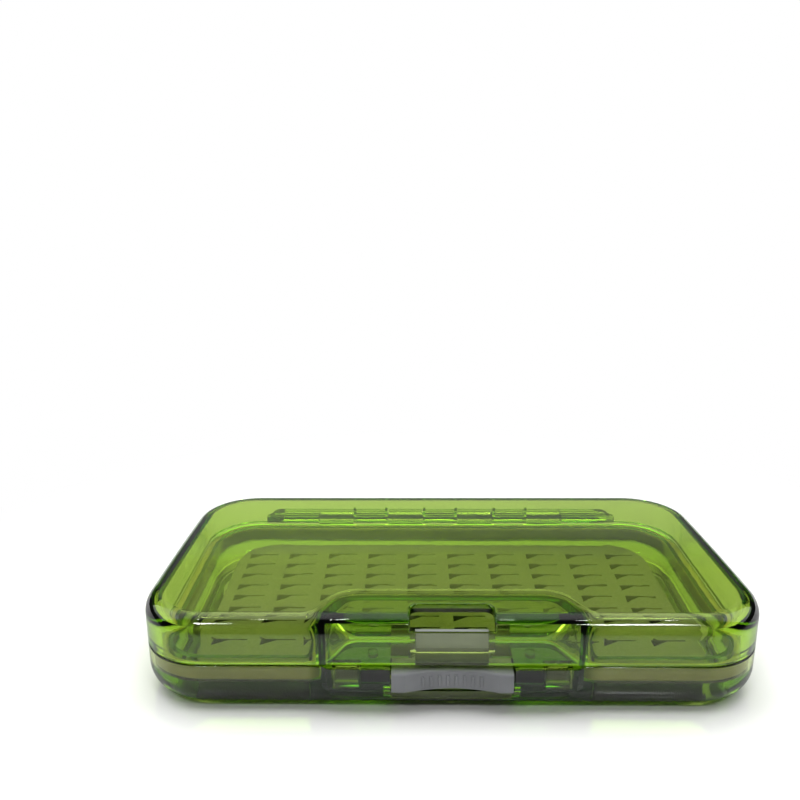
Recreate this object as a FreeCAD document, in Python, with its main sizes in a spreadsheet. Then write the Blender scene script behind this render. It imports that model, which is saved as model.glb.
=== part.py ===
import FreeCAD, Part
import math
import os
import Sketcher
from FreeCAD import Vector

# A clear, hinged box for fishing flies: two moulded shells, a silicone seal, a slit foam sheet,
# a press latch with its two springs, and a steel hinge pin.
# Millimetres. X runs along the hinge, +Y points to the hinge, +Z up.
# The origin is the centre of the flat underside.

doc = FreeCAD.newDocument("fly_box")
sheet = doc.addObject("Spreadsheet::Sheet", "Sizes")

# Driving dimensions
SIZES = {
    # outer case
    "case_length": 150.0,
    "case_depth": 78.0,
    "corner_radius": 17.0,
    "base_height": 12.4,
    "lid_height": 12.0,
    "parting_gap": 0.2,
    "parting_round": 0.4,
    # base walls, and the rim that carries the seal
    "base_floor": 1.8,
    "base_edge_round": 7.0,
    "base_inner_round": 0.5,
    "outer_lip": 1.0,
    "channel_width": 3.6,
    "channel_depth": 4.4,
    "inner_lip": 1.2,
    # seal
    "seal_side_gap": 0.1,
    "seal_bead_gap": 0.1,
    "seal_round": 1.2,
    # lid walls
    "lid_wall": 3.0,
    "lid_top": 2.0,
    "lid_crown": 0.8,
    "lid_edge_round": 4.5,
    "lid_inner_round": 2.2,
    "bead_setback": 1.8,
    "bead_width": 1.1,
    "bead_height": 0.5,
    # bay at the front, where the wall and the seal step back for the latch
    "bay_depth": 10.5,
    "bay_floor_half": 22.0,
    "bay_floor_round": 4.0,
    "bay_mouth_round": 8.0,
    "bay_side_slack": 0.7,
    "strip_thickness": 2.2,
    "slot_roof": 2.6,
    "bulge_out": 1.2,
    "bulge_half": 31.5,
    "bulge_slope": 3.0,
    "bulge_bottom": 6.2,
    "bulge_round": 1.0,
    # latch well in the base
    "well_side_gap": 0.3,
    "well_floor": 3.0,
    "sill_height": 6.0,
    "sill_thickness": 2.6,
    "side_pocket_place": 24.4,
    "side_pocket_length": 6.8,
    "side_pocket_width": 3.4,
    "side_pocket_setback": 2.0,
    "side_pocket_round": 1.0,
    "side_pocket_depth": 5.6,
    "peg_place": 18.4,
    "peg_setback": 5.5,
    "peg_radius": 1.2,
    "peg_height": 1.2,
    # latch button and hook
    "button_width": 28.0,
    "button_proud": 1.6,
    "button_drop": 0.9,
    "button_back": 5.8,
    "button_sill_gap": 0.3,
    "button_floor_gap": 0.4,
    "button_lip_gap": 0.5,
    "button_round": 0.8,
    "scoop_width": 21.5,
    "scoop_depth": 1.7,
    "pivot_setback": 4.4,
    "pivot_height": 4.8,
    "trunnion_radius": 1.2,
    "trunnion_clearance": 0.05,
    "trunnion_length": 1.7,
    "trunnion_end_gap": 0.3,
    "blade_width": 17.0,
    "blade_thickness": 1.8,
    "blade_gap": 0.6,
    "blade_rise": 6.7,
    "rib_count": 4,
    "rib_pitch": 5.0,
    "rib_size": 1.1,
    "rib_thickness": 0.8,
    # catch on the lid's front strip, and the barb that it holds
    "notch_half": 9.7,
    "notch_rise": 8.3,
    "notch_depth": 7.5,
    "notch_corner_round": 2.0,
    "notch_rim_round": 0.6,
    "catch_rise": 3.0,
    "catch_gap": 0.2,
    "barb_catch": 1.0,
    "barb_front_gap": 0.2,
    "barb_side_gap": 1.4,
    "barb_nose": 1.0,
    "barb_ramp": 2.4,
    # latch springs
    "spring_place": 8.0,
    "spring_height": 8.8,
    "spring_diameter": 4.2,
    "spring_wire": 0.5,
    "spring_turns": 4.5,
    "spring_seat_depth": 1.5,
    "spring_seat_gap": 0.15,
    "spring_side_gap": 0.3,
    "spring_boss": 1.2,
    # hinge
    "hinge_outset": 4.5,
    "hinge_end_setback": 18.0,
    "barrel_radius": 2.2,
    "pin_radius": 1.0,
    "pin_clearance": 0.05,
    "pin_end_gap": 0.3,
    "knuckle_pitch": 11.4,
    "knuckle_gap": 0.3,
    "web_thickness": 1.6,
    "gusset_thickness": 0.8,
    "gusset_height": 5.5,
    "end_taper": 5.0,
    # foam and its adhesive film
    "film_thickness": 0.3,
    "foam_thickness": 5.5,
    "foam_gap": 0.1,
    "foam_end_setback": 11.5,
    "foam_corner": 10.5,
    "slit_length": 8.5,
    "slit_width": 0.3,
    "slit_depth": 4.0,
    "slit_mouth_length": 3.8,
    "slit_mouth_width": 2.4,
    "slit_row_pitch": 12.4,
    "slit_column_pitch": 5.68,
    "slit_rear_margin": 6.2,
    "slit_front_margin": 3.0,
    "slit_end_margin": 2.5,
}
for row, (name, size) in enumerate(SIZES.items(), start=1):
    sheet.set(f"A{row}", str(size))
    sheet.setAlias(f"A{row}", name)
doc.recompute()

# Places worked out from the driving dimensions, as expressions of the sheet
FRONT = "(-Sizes.case_depth / 2)"
REAR = "(Sizes.case_depth / 2)"
RIM_WIDTH = "(Sizes.outer_lip + Sizes.channel_width + Sizes.inner_lip)"
LID_PLANE = "(Sizes.base_height + Sizes.parting_gap)"
STRIP_BACK = f"({FRONT} + Sizes.strip_thickness)"
NOTCH_BACK = f"({FRONT} + Sizes.notch_depth)"
BAY_BACK = f"({FRONT} + Sizes.bay_depth)"
WELL_HALF = "(Sizes.button_width / 2 + Sizes.well_side_gap)"
SILL_BACK = f"({FRONT} + Sizes.sill_thickness)"
BUTTON_FRONT = f"({FRONT} - Sizes.button_proud)"
BUTTON_BACK = f"({FRONT} + Sizes.button_back)"
BUTTON_TOP = "(Sizes.base_height - Sizes.button_drop)"
BUTTON_BOTTOM = "(Sizes.sill_height + Sizes.button_sill_gap)"
BLADE_FRONT = f"({STRIP_BACK} + Sizes.blade_gap)"
BLADE_TOP = f"({LID_PLANE} + Sizes.blade_rise)"
BARB_FRONT = f"({STRIP_BACK} - Sizes.barb_catch)"
BARB_UNDERSIDE = f"({LID_PLANE} + Sizes.catch_rise + Sizes.catch_gap)"
PIVOT_Y = f"({FRONT} + Sizes.pivot_setback)"
HINGE_Y = f"({REAR} + Sizes.hinge_outset)"
HINGE_Z = "(Sizes.base_height + Sizes.parting_gap / 2)"
HINGE_HALF = "(Sizes.case_length / 2 - Sizes.hinge_end_setback)"
PIN_HALF = f"({HINGE_HALF} - Sizes.end_taper - Sizes.pin_end_gap)"
KNUCKLE_LENGTH = "(Sizes.knuckle_pitch - Sizes.knuckle_gap)"
FOAM_INSET = f"({RIM_WIDTH} + Sizes.base_inner_round + Sizes.foam_gap)"


def value(expression):
    return float(sheet.evalExpression(str(expression)))


def body(label):
    return doc.addObject("PartDesign::Body", label)


def sketch_on(owner, name, role, offset="0"):
    """A sketch on one of the body's own planes, moved along the plane's normal."""
    drawing = owner.newObject("Sketcher::SketchObject", name)
    plane = [f for f in owner.Origin.OriginFeatures if f.Role == role][0]
    drawing.AttachmentSupport = [(plane, "")]
    drawing.MapMode = "FlatFace"
    drawing.setExpression("AttachmentOffset.Base.z", offset)
    return drawing


def bind(drawing, kind, refs, expression):
    index = drawing.addConstraint(Sketcher.Constraint(kind, *refs, value(expression)))
    drawing.setExpression(f"Constraints[{index}]", str(expression))


def pin_point(drawing, geo, pos, x, y):
    """Ties a point of a sketch to its two coordinates."""
    for kind, axis, place in (("DistanceX", -2, x), ("DistanceY", -1, y)):
        if abs(value(place)) < 1e-9:
            drawing.addConstraint(Sketcher.Constraint("PointOnObject", geo, pos, axis))
        elif value(place) > 0:
            bind(drawing, kind, (-1, 1, geo, pos), place)
        else:
            bind(drawing, kind, (geo, pos, -1, 1), f"-({place})")


def add_polygon(drawing, corners):
    """Straight-sided closed outline through the corners, each a pair of expressions."""
    points = [Vector(value(x), value(y), 0) for x, y in corners]
    first = drawing.GeometryCount
    count = len(points)
    for i in range(count):
        drawing.addGeometry(Part.LineSegment(points[i], points[(i + 1) % count]), False)
    for i in range(count):
        follower = first + (i + 1) % count
        drawing.addConstraint(Sketcher.Constraint("Coincident", first + i, 2, follower, 1))
    for i, (x, y) in enumerate(corners):
        pin_point(drawing, first + i, 1, x, y)


def add_rectangle(drawing, x0, x1, y0, y1):
    add_polygon(drawing, [(x0, y0), (x1, y0), (x1, y1), (x0, y1)])


def add_circle(drawing, x, y, radius):
    ring = Part.Circle(Vector(value(x), value(y), 0), Vector(0, 0, 1), value(radius))
    geo = drawing.addGeometry(ring, False)
    bind(drawing, "Radius", (geo,), radius)
    pin_point(drawing, geo, 3, x, y)


def tangent_points(first, second):
    """Ends of the straight line between two arcs: each is (centre x, centre y, radius, turn)."""
    (x1, y1, r1, turn1), (x2, y2, r2, turn2) = first, second
    span = math.hypot(x2 - x1, y2 - y1)
    heading = math.atan2(y2 - y1, x2 - x1) - math.asin((turn2 * r2 - turn1 * r1) / span)
    normal = Vector(-math.sin(heading), math.cos(heading), 0)
    start = Vector(x1, y1, 0) - normal * (turn1 * r1)
    end = Vector(x2, y2, 0) - normal * (turn2 * r2)
    return start, end


def add_arc(drawing, centre, radius, start, end, turn):
    """Arc from start to end; turn is 1 to the left and -1 to the right."""
    if turn < 0:
        start, end = end, start
    circle = Part.Circle(centre, Vector(0, 0, 1), radius)
    first = math.atan2(start.y - centre.y, start.x - centre.x)
    last = math.atan2(end.y - centre.y, end.x - centre.x)
    return drawing.addGeometry(Part.ArcOfCircle(circle, first, last), False)


def add_belt(drawing, arcs):
    """Arcs joined by tangent lines, each arc given as (x, y, radius, turn)."""
    sizes = [(value(x), value(y), value(r), turn) for x, y, r, turn in arcs]
    count = len(arcs)
    joins = [tangent_points(sizes[i], sizes[(i + 1) % count]) for i in range(count)]
    arc_ids = []
    line_ids = []
    for i, (x, y, r, turn) in enumerate(sizes):
        arc_ids.append(add_arc(drawing, Vector(x, y, 0), r, joins[i - 1][1], joins[i][0], turn))
        line_ids.append(drawing.addGeometry(Part.LineSegment(*joins[i]), False))
    for i in range(count):
        follower = (i + 1) % count
        leaves = 2 if arcs[i][3] > 0 else 1
        enters = 1 if arcs[follower][3] > 0 else 2
        drawing.addConstraint(Sketcher.Constraint("Tangent", arc_ids[i], leaves, line_ids[i], 1))
        drawing.addConstraint(Sketcher.Constraint("Tangent", line_ids[i], 2, arc_ids[follower], enters))
    for geo, (x, y, r, turn) in zip(arc_ids, arcs):
        bind(drawing, "Radius", (geo,), r)
        pin_point(drawing, geo, 3, x, y)


def corner_arcs(inset):
    """The case's four plan corners in order, from front left, at an inset from the outer wall."""
    x = "(Sizes.case_length / 2 - Sizes.corner_radius)"
    y = "(Sizes.case_depth / 2 - Sizes.corner_radius)"
    radius = f"(Sizes.corner_radius - {inset})"
    return [(f"-{x}", f"-{y}", radius, 1), (x, f"-{y}", radius, 1), (x, y, radius, 1), (f"-{x}", y, radius, 1)]


def bay_arcs(inset):
    """The four arcs of the bay from left to right, at an inset from the outer wall."""
    floor_y = f"({BAY_BACK} - Sizes.bay_floor_round)"
    mouth_y = f"({FRONT} + Sizes.bay_mouth_round)"
    run = "Sizes.bay_mouth_round + Sizes.bay_floor_round + Sizes.bay_side_slack"
    mouth_x = f"(Sizes.bay_floor_half + {run})"
    floor_radius = f"(Sizes.bay_floor_round + {inset})"
    mouth_radius = f"(Sizes.bay_mouth_round - {inset})"
    return [
        (f"-{mouth_x}", mouth_y, mouth_radius, 1),
        ("-Sizes.bay_floor_half", floor_y, floor_radius, -1),
        ("Sizes.bay_floor_half", floor_y, floor_radius, -1),
        (mouth_x, mouth_y, mouth_radius, 1),
    ]


def add_plain_outline(drawing, inset):
    add_belt(drawing, corner_arcs(inset))


def add_bay_outline(drawing, inset):
    """The case outline with the bay stepped into its front side."""
    corners = corner_arcs(inset)
    add_belt(drawing, corners[:1] + bay_arcs(inset) + corners[1:])


def add_foam_outline(drawing):
    """The foam's outline: the bay outline, but shorter at both ends."""
    x = "(Sizes.case_length / 2 - Sizes.foam_end_setback - Sizes.foam_corner)"
    y = f"(Sizes.case_depth / 2 - {FOAM_INSET} - Sizes.foam_corner)"
    radius = "Sizes.foam_corner"
    left = (f"-{x}", f"-{y}", radius, 1)
    rest = [(x, f"-{y}", radius, 1), (x, y, radius, 1), (f"-{x}", y, radius, 1)]
    add_belt(drawing, [left] + bay_arcs(FOAM_INSET) + rest)


def pad(owner, drawing, name, length, reverse=False, both=False):
    feature = owner.newObject("PartDesign::Pad", name)
    feature.Profile = drawing
    feature.setExpression("Length", length)
    feature.Reversed = reverse
    if both:
        feature.SideType = "Symmetric"
    doc.recompute()
    return feature


def pocket(owner, drawing, name, length, reverse=False, both=False):
    """Removes the sketch's outline over a length, and makes sure that something was removed."""
    before = owner.Shape.Volume
    feature = owner.newObject("PartDesign::Pocket", name)
    feature.Profile = drawing
    feature.setExpression("Length", length)
    feature.Reversed = reverse
    if both:
        feature.SideType = "Symmetric"
    doc.recompute()
    if not owner.Shape.Volume < before:
        raise RuntimeError(f"{name} removes nothing")
    return feature


def fillet(owner, name, radius, picks):
    """Rounds the edges of the body's latest shape that the test picks."""
    edges = [f"Edge{i}" for i, edge in enumerate(owner.Shape.Edges, start=1) if picks(edge)]
    if not edges:
        raise RuntimeError(f"{name} finds no edges")
    base = owner.Tip
    feature = owner.newObject("PartDesign::Fillet", name)
    feature.Base = (base, edges)
    feature.setExpression("Radius", radius)
    doc.recompute()
    return feature


def row_of(owner, name, originals, count, step):
    """Repeats features along X."""
    feature = owner.newObject("PartDesign::LinearPattern", name)
    feature.Originals = originals
    axis = [f for f in owner.Origin.OriginFeatures if f.Role == "X_Axis"][0]
    feature.Direction = (axis, [""])
    feature.Mode = "Spacing"
    feature.setExpression("Offset", step)
    feature.Occurrences = count
    owner.Tip = feature
    doc.recompute()
    return feature


def lies_at(edge, z):
    """True for an edge that lies in the level plane at height z, in the body's own frame."""
    box = edge.BoundBox
    return abs(box.ZMin - z) < 1e-4 and abs(box.ZMax - z) < 1e-4


def stands_at(edge, x, y):
    """True for an upright edge at x to either side of the middle, and at y."""
    box = edge.BoundBox
    return box.XLength + box.YLength < 1e-4 and abs(abs(box.XMin) - x) < 1e-4 and abs(box.YMin - y) < 1e-4


def on_notch_rim(edge, x, y, z):
    """True for an edge round a notch that reaches x to either side and back to y, if it rises above z."""
    box = edge.BoundBox
    upright = box.XLength + box.YLength < 1e-4
    return not upright and max(-box.XMin, box.XMax) < x + 0.01 and box.YMax < y + 0.01 and box.ZMax > z


def add_knuckle(owner, name, middle, side):
    """One hinge knuckle with its web and two gussets; side is 1 on the lid and -1 on the base."""
    axis_z = "(-Sizes.parting_gap / 2)" if side > 0 else HINGE_Z
    level = "0" if side > 0 else "Sizes.base_height"
    tip = f"({level} + {side} * Sizes.web_thickness)"
    high = f"({level} + {side} * Sizes.gusset_height)"
    wall = f"({REAR} - Sizes.outer_lip / 2)"
    drawing = sketch_on(owner, f"{name}_barrel_sketch", "YZ_Plane", middle)
    add_circle(drawing, HINGE_Y, axis_z, "Sizes.barrel_radius")
    barrel = pad(owner, drawing, f"{name}_barrel", KNUCKLE_LENGTH, both=True)
    drawing = sketch_on(owner, f"{name}_web_sketch", "YZ_Plane", middle)
    add_rectangle(drawing, wall, HINGE_Y, level, tip)
    web = pad(owner, drawing, f"{name}_web", KNUCKLE_LENGTH, both=True)
    parts = [barrel, web]
    for end, sign in (("left", -1), ("right", 1)):
        place = f"{middle} + {sign} * ({KNUCKLE_LENGTH} - Sizes.gusset_thickness) / 2"
        drawing = sketch_on(owner, f"{name}_{end}_gusset_sketch", "YZ_Plane", place)
        add_polygon(drawing, [(wall, tip), (HINGE_Y, tip), (wall, high)])
        parts.append(pad(owner, drawing, f"{name}_{end}_gusset", "Sizes.gusset_thickness", both=True))
    return parts


def make_base_shell():
    base = body("base_shell")
    drawing = sketch_on(base, "base_outline", "XY_Plane")
    add_plain_outline(drawing, "0")
    pad(base, drawing, "base_block", "Sizes.base_height")
    fillet(base, "base_edge", "Sizes.base_edge_round", lambda edge: lies_at(edge, 0))
    rim = value("Sizes.base_height")
    fillet(base, "base_rim_edge", "Sizes.parting_round", lambda edge: lies_at(edge, rim))
    # latch housing that stands a little proud of the front wall
    drawing = sketch_on(base, "bulge_outline", "XY_Plane", "Sizes.bulge_bottom")
    inside = f"({FRONT} + Sizes.outer_lip)"
    outside = f"({FRONT} - Sizes.bulge_out)"
    slim = "(Sizes.bulge_half - Sizes.bulge_slope)"
    corners = [("-Sizes.bulge_half", inside), (f"-{slim}", outside), (slim, outside), ("Sizes.bulge_half", inside)]
    add_polygon(drawing, corners)
    pad(base, drawing, "bulge", "Sizes.base_height - Sizes.bulge_bottom")
    foot = value("Sizes.bulge_bottom")
    front = value(outside)
    fillet(base, "bulge_edge", "Sizes.bulge_round",
           lambda edge: lies_at(edge, foot) and abs(edge.BoundBox.YMin - front) < 1e-4)
    first = "-3 * Sizes.knuckle_pitch"
    knuckle = add_knuckle(base, "base_knuckle", first, -1)
    row_of(base, "base_knuckles", knuckle, 4, "2 * Sizes.knuckle_pitch")
    # tray and seal channel
    drawing = sketch_on(base, "tray_outline", "XY_Plane", "Sizes.base_height")
    add_bay_outline(drawing, RIM_WIDTH)
    pocket(base, drawing, "tray", "Sizes.base_height - Sizes.base_floor")
    floor = value("Sizes.base_floor")
    fillet(base, "tray_edge", "Sizes.base_inner_round", lambda edge: lies_at(edge, floor))
    drawing = sketch_on(base, "channel_outline", "XY_Plane", "Sizes.base_height")
    add_bay_outline(drawing, "Sizes.outer_lip")
    add_bay_outline(drawing, "(Sizes.outer_lip + Sizes.channel_width)")
    pocket(base, drawing, "channel", "Sizes.channel_depth")
    # latch well behind the sill, and the opening above the sill
    drawing = sketch_on(base, "well_outline", "XY_Plane", "Sizes.base_height")
    add_rectangle(drawing, f"-{WELL_HALF}", WELL_HALF, SILL_BACK, BAY_BACK)
    pocket(base, drawing, "well", "Sizes.base_height - Sizes.well_floor")
    drawing = sketch_on(base, "opening_outline", "XY_Plane", "Sizes.base_height")
    add_rectangle(drawing, f"-{WELL_HALF}", WELL_HALF, f"{FRONT} - 2 * Sizes.bulge_out", SILL_BACK)
    pocket(base, drawing, "opening", "Sizes.base_height - Sizes.sill_height")
    # pockets and pegs in the blocks beside the button
    pocket_y = f"({FRONT} + Sizes.side_pocket_setback)"
    reach_x = "(Sizes.side_pocket_length / 2 - Sizes.side_pocket_round)"
    reach_y = "(Sizes.side_pocket_width / 2 - Sizes.side_pocket_round)"
    drawing = sketch_on(base, "side_pocket_outline", "XY_Plane", "Sizes.base_height")
    for sign in (-1, 1):
        middle = f"({sign} * Sizes.side_pocket_place)"
        corners = [(-1, -1), (1, -1), (1, 1), (-1, 1)]
        add_belt(drawing, [(f"({middle} + {dx} * {reach_x})", f"({pocket_y} + {dy} * {reach_y})",
                            "Sizes.side_pocket_round", 1) for dx, dy in corners])
    pocket(base, drawing, "side_pockets", "Sizes.side_pocket_depth")
    drawing = sketch_on(base, "peg_outline", "XY_Plane", "Sizes.base_height")
    for sign in (-1, 1):
        add_circle(drawing, f"{sign} * Sizes.peg_place", f"{FRONT} + Sizes.peg_setback", "Sizes.peg_radius")
    pad(base, drawing, "pegs", "Sizes.peg_height")
    # bearings for the button's trunnions, seats for its springs, and the hinge bore
    drawing = sketch_on(base, "bearing_outline", "YZ_Plane")
    add_circle(drawing, PIVOT_Y, "Sizes.pivot_height", "Sizes.trunnion_radius + Sizes.trunnion_clearance")
    reach = "2 * (Sizes.button_width / 2 + Sizes.trunnion_length + Sizes.trunnion_end_gap)"
    pocket(base, drawing, "bearings", reach, both=True)
    drawing = sketch_on(base, "boss_outline", "XZ_Plane", f"-{BAY_BACK}")
    boss_radius = "Sizes.spring_diameter / 2 - Sizes.spring_wire - Sizes.spring_side_gap"
    for sign in (-1, 1):
        add_circle(drawing, f"{sign} * Sizes.spring_place", "Sizes.spring_height", boss_radius)
    pad(base, drawing, "bosses", "Sizes.spring_boss")
    drawing = sketch_on(base, "base_bore_outline", "YZ_Plane")
    add_circle(drawing, HINGE_Y, HINGE_Z, "Sizes.pin_radius + Sizes.pin_clearance")
    pocket(base, drawing, "base_bore", "Sizes.case_length", both=True)
    return base


def add_crown(owner):
    """Domes the lid's top a little from front to rear."""
    half_text = "(Sizes.case_depth / 2)"
    radius_text = f"(({half_text} ^ 2 + Sizes.lid_crown ^ 2) / (2 * Sizes.lid_crown))"
    radius = value(radius_text)
    top = value("Sizes.lid_height")
    above = value("Sizes.lid_height + Sizes.lid_crown")
    side_text = f"({half_text} + Sizes.lid_crown)"
    side = value(side_text)
    drawing = sketch_on(owner, "crown_outline", "YZ_Plane")
    foot = top - radius + math.sqrt(radius ** 2 - side ** 2)
    corners = [Vector(side, foot, 0), Vector(side, above, 0), Vector(-side, above, 0), Vector(-side, foot, 0)]
    lines = [drawing.addGeometry(Part.LineSegment(a, b), False) for a, b in zip(corners, corners[1:])]
    arc = add_arc(drawing, Vector(0, top - radius, 0), radius, corners[0], corners[3], 1)
    drawing.addConstraint(Sketcher.Constraint("Coincident", lines[0], 2, lines[1], 1))
    drawing.addConstraint(Sketcher.Constraint("Coincident", lines[1], 2, lines[2], 1))
    drawing.addConstraint(Sketcher.Constraint("Coincident", lines[2], 2, arc, 2))
    drawing.addConstraint(Sketcher.Constraint("Coincident", lines[0], 1, arc, 1))
    drawing.addConstraint(Sketcher.Constraint("Vertical", lines[0]))
    drawing.addConstraint(Sketcher.Constraint("Horizontal", lines[1]))
    drawing.addConstraint(Sketcher.Constraint("Vertical", lines[2]))
    bind(drawing, "Radius", (arc,), radius_text)
    pin_point(drawing, arc, 3, "0", f"Sizes.lid_height - {radius_text}")
    bind(drawing, "DistanceX", (-1, 1, lines[0], 1), side_text)
    bind(drawing, "DistanceX", (lines[2], 1, -1, 1), side_text)
    bind(drawing, "DistanceY", (-1, 1, lines[1], 1), "Sizes.lid_height + Sizes.lid_crown")
    pocket(owner, drawing, "crown", "2 * Sizes.case_length", both=True)


def add_slot_outline(drawing):
    """The part of the bay that lies behind the front strip."""
    arcs = bay_arcs("0")
    sizes = [(value(x), value(y), value(r), turn) for x, y, r, turn in arcs]
    strip = value(STRIP_BACK)
    mouth_x, mouth_y, mouth_r, _ = sizes[3]
    half = mouth_x - math.sqrt(mouth_r ** 2 - (mouth_y - strip) ** 2)
    starts = [Vector(-half, strip, 0)] + [tangent_points(sizes[i], sizes[i + 1])[1] for i in range(3)]
    ends = [tangent_points(sizes[i], sizes[i + 1])[0] for i in range(3)] + [Vector(half, strip, 0)]
    arc_ids = []
    for (x, y, r, turn), start, end in zip(sizes, starts, ends):
        arc_ids.append(add_arc(drawing, Vector(x, y, 0), r, start, end, turn))
    line_ids = []
    for i in range(3):
        line_ids.append(drawing.addGeometry(Part.LineSegment(ends[i], starts[i + 1]), False))
        leaves = 2 if arcs[i][3] > 0 else 1
        enters = 1 if arcs[i + 1][3] > 0 else 2
        drawing.addConstraint(Sketcher.Constraint("Tangent", arc_ids[i], leaves, line_ids[i], 1))
        drawing.addConstraint(Sketcher.Constraint("Tangent", line_ids[i], 2, arc_ids[i + 1], enters))
    for geo, (x, y, r, turn) in zip(arc_ids, arcs):
        bind(drawing, "Radius", (geo,), r)
        pin_point(drawing, geo, 3, x, y)
    back = drawing.addGeometry(Part.LineSegment(ends[3], starts[0]), False)
    drawing.addConstraint(Sketcher.Constraint("Coincident", arc_ids[3], 2, back, 1))
    drawing.addConstraint(Sketcher.Constraint("Coincident", back, 2, arc_ids[0], 1))
    drawing.addConstraint(Sketcher.Constraint("Horizontal", back))
    bind(drawing, "DistanceY", (back, 1, -1, 1), f"-{STRIP_BACK}")


def make_lid_shell():
    lid = body("lid_shell")
    lid.setExpression("Placement.Base.z", LID_PLANE)
    drawing = sketch_on(lid, "lid_outline", "XY_Plane")
    add_plain_outline(drawing, "0")
    pad(lid, drawing, "lid_block", "Sizes.lid_height")
    level = value(LID_PLANE)
    fillet(lid, "lid_rim_edge", "Sizes.parting_round", lambda edge: lies_at(edge, level))
    add_crown(lid)
    shoulder = value("Sizes.lid_height - 2 * Sizes.lid_crown")
    fillet(lid, "lid_edge", "Sizes.lid_edge_round", lambda edge: edge.BoundBox.ZMin - level > shoulder)
    # slot behind the front strip, closed by the top, then the hollow
    drawing = sketch_on(lid, "slot_outline", "XY_Plane")
    add_slot_outline(drawing)
    pocket(lid, drawing, "slot", "Sizes.lid_height - Sizes.slot_roof", reverse=True)
    drawing = sketch_on(lid, "hollow_outline", "XY_Plane")
    add_bay_outline(drawing, "Sizes.lid_wall")
    pocket(lid, drawing, "hollow", "Sizes.lid_height - Sizes.lid_top", reverse=True)
    ceiling = value(f"{LID_PLANE} + Sizes.lid_height - Sizes.lid_top")
    fillet(lid, "hollow_edge", "Sizes.lid_inner_round", lambda edge: lies_at(edge, ceiling))
    # bead that presses on the seal
    drawing = sketch_on(lid, "bead_outline", "XY_Plane")
    add_bay_outline(drawing, "Sizes.bead_setback")
    add_bay_outline(drawing, "(Sizes.bead_setback + Sizes.bead_width)")
    pad(lid, drawing, "bead", "Sizes.bead_height", reverse=True)
    # notch through the top and the strip, and the catch pocket behind the strip's thin skin
    drawing = sketch_on(lid, "notch_outline", "XY_Plane", "Sizes.notch_rise")
    before_strip = f"({FRONT} - Sizes.strip_thickness)"
    add_rectangle(drawing, "-Sizes.notch_half", "Sizes.notch_half", before_strip, NOTCH_BACK)
    pocket(lid, drawing, "notch", "Sizes.lid_height", reverse=True)
    notch_x, notch_y = value("Sizes.notch_half"), value(NOTCH_BACK)
    fillet(lid, "notch_corners", "Sizes.notch_corner_round", lambda edge: stands_at(edge, notch_x, notch_y))
    within_roof = value(f"{LID_PLANE} + Sizes.lid_height - Sizes.slot_roof / 2")
    fillet(lid, "notch_rim", "Sizes.notch_rim_round",
           lambda edge: on_notch_rim(edge, notch_x, notch_y, within_roof))
    drawing = sketch_on(lid, "catch_outline", "XY_Plane", "Sizes.catch_rise")
    catch_front = f"({BARB_FRONT} - Sizes.barb_front_gap)"
    add_rectangle(drawing, "-Sizes.notch_half", "Sizes.notch_half", catch_front, STRIP_BACK)
    pocket(lid, drawing, "catch", "Sizes.lid_height", reverse=True)
    # knuckles: three between the base's, and a long tapered one at each end
    knuckle = add_knuckle(lid, "lid_knuckle", "-2 * Sizes.knuckle_pitch", 1)
    row_of(lid, "lid_knuckles", knuckle, 3, "2 * Sizes.knuckle_pitch")
    inner = "(3.5 * Sizes.knuckle_pitch + Sizes.knuckle_gap / 2)"
    middle = f"(({HINGE_HALF} + {inner}) / 2)"
    wall = f"({REAR} - Sizes.outer_lip / 2)"
    axis_z = "(-Sizes.parting_gap / 2)"
    outer_y = f"({HINGE_Y} + Sizes.barrel_radius)"
    for end, sign in (("left", -1), ("right", 1)):
        drawing = sketch_on(lid, f"{end}_end_barrel_outline", "YZ_Plane", f"{sign} * {middle}")
        add_circle(drawing, HINGE_Y, axis_z, "Sizes.barrel_radius")
        pad(lid, drawing, f"{end}_end_barrel", f"{HINGE_HALF} - {inner}", both=True)
        drawing = sketch_on(lid, f"{end}_end_web_outline", "YZ_Plane", f"{sign} * {middle}")
        add_rectangle(drawing, wall, HINGE_Y, "0", "Sizes.web_thickness")
        pad(lid, drawing, f"{end}_end_web", f"{HINGE_HALF} - {inner}", both=True)
        drawing = sketch_on(lid, f"{end}_taper_outline", "XY_Plane")
        beyond = f"({outer_y} + Sizes.pin_radius)"
        tip_x = f"({sign} * ({HINGE_HALF} - Sizes.end_taper))"
        far_x = f"({sign} * ({HINGE_HALF} + Sizes.pin_radius))"
        near_y = f"({outer_y} - Sizes.end_taper - Sizes.pin_radius)"
        add_polygon(drawing, [(tip_x, outer_y), (far_x, near_y), (far_x, beyond), (tip_x, beyond)])
        pocket(lid, drawing, f"{end}_taper", "4 * Sizes.barrel_radius", both=True)
    # the pin goes in from the right-hand end
    bore_left = f"({PIN_HALF} + Sizes.pin_end_gap / 2)"
    drawing = sketch_on(lid, "lid_bore_outline", "YZ_Plane", f"-{bore_left}")
    add_circle(drawing, HINGE_Y, axis_z, "Sizes.pin_radius + Sizes.pin_clearance")
    pocket(lid, drawing, "lid_bore", "Sizes.case_length", reverse=True)
    return lid


def make_seal_gasket():
    seal = body("seal_gasket")
    bottom = "(Sizes.base_height - Sizes.channel_depth)"
    seal.setExpression("Placement.Base.z", bottom)
    drawing = sketch_on(seal, "seal_outline", "XY_Plane")
    add_bay_outline(drawing, "(Sizes.outer_lip + Sizes.seal_side_gap)")
    add_bay_outline(drawing, "(Sizes.outer_lip + Sizes.channel_width - Sizes.seal_side_gap)")
    height = f"({LID_PLANE} - Sizes.bead_height - Sizes.seal_bead_gap - {bottom})"
    pad(seal, drawing, "seal_ring", height)
    top = value(f"{bottom} + {height}")
    fillet(seal, "seal_crown", "Sizes.seal_round", lambda edge: lies_at(edge, top))
    return seal


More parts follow.
